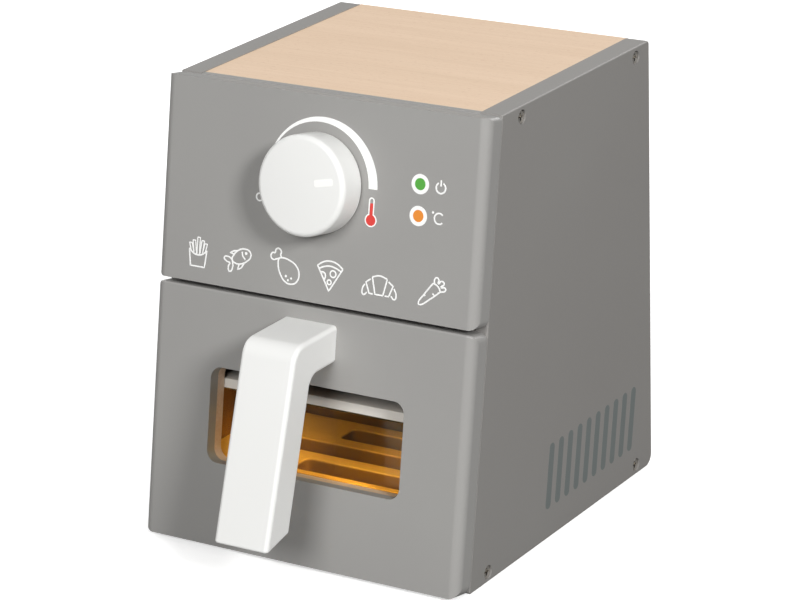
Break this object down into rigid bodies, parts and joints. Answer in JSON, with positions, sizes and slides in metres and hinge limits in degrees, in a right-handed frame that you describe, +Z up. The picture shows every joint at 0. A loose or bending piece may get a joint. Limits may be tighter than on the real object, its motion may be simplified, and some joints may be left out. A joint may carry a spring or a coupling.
{
  "type": "toy air fryer",
  "caption": "Wooden toy air fryer: leaning painted front, turning knob, pull-out drawer with bent handle, amber window and loose slotted grate.",
  "frame": {"origin": "middle of the base board's underside, on the surface that the toy stands on", "axes": "+Z up, +Y to the back, so the drawer and knob face -Y, +X to the right as seen from the front"},
  "size_m": [0.18, 0.2428, 0.2266],
  "materials": {
    "grey_paint": "satin grey paint on board",
    "grey_paint_board": "satin grey paint on thin board",
    "natural_wood": "fine sanded, clear matt",
    "white_paint": "satin white paint on turned and sawn wood",
    "amber_acrylic": "clear amber, polished",
    "steel": "bright zinc"
  },
  "bodies": {
    "housing": {"back_panel": "grey_paint_board", "base_panel": "grey_paint", "control_dowel_1": "natural_wood", "control_dowel_2": "natural_wood", "control_dowel_3": "natural_wood", "control_dowel_4": "natural_wood", "control_panel": "grey_paint", "drawer_shelf": "grey_paint_board", "front_top_rail": "grey_paint", "left_screw_1": "steel", "left_screw_2": "steel", "left_screw_3": "steel", "left_screw_4": "steel", "left_side_panel": "grey_paint", "right_screw_1": "steel", "right_screw_2": "steel", "right_screw_3": "steel", "right_screw_4": "steel", "right_side_panel": "grey_paint", "top_panel": "natural_wood"},
    "drawer": {"drawer_front": "grey_paint", "window_frame": "natural_wood", "window_pane": "amber_acrylic", "drawer_left_side": "natural_wood", "drawer_right_side": "natural_wood", "drawer_back": "natural_wood", "drawer_bottom": "natural_wood", "grate_ledge_left": "natural_wood", "grate_ledge_right": "natural_wood", "handle": "white_paint", "drawer_dowel_1": "natural_wood", "drawer_dowel_2": "natural_wood", "drawer_dowel_3": "natural_wood", "drawer_dowel_4": "natural_wood", "handle_screw_1": "steel", "handle_screw_2": "steel", "pane_screw_1": "steel", "pane_screw_2": "steel", "pane_screw_3": "steel", "pane_screw_4": "steel"},
    "knob_assembly": {"knob": "white_paint", "knob_spindle": "natural_wood", "knob_washer": "steel", "knob_screw": "steel"},
    "grate_body": {"grate": "natural_wood"}
  },
  "joints": [
    {"name": "drawer_slide", "type": "slide", "parent": "housing", "child": "drawer", "axis": [0, -1, 0], "range_m": [0, 0.13]},
    {"name": "knob_turn", "type": "hinge", "parent": "housing", "child": "knob_assembly", "pos_m": [0, -0.0713, 0.18552], "axis": [0, -0.9842, 0.1772], "continuous": true},
    {"name": "grate_lift", "type": "slide", "parent": "drawer", "child": "grate_body", "axis": [0, 0.1772, 0.9842], "range_m": [0, 0.03]}
  ]
}
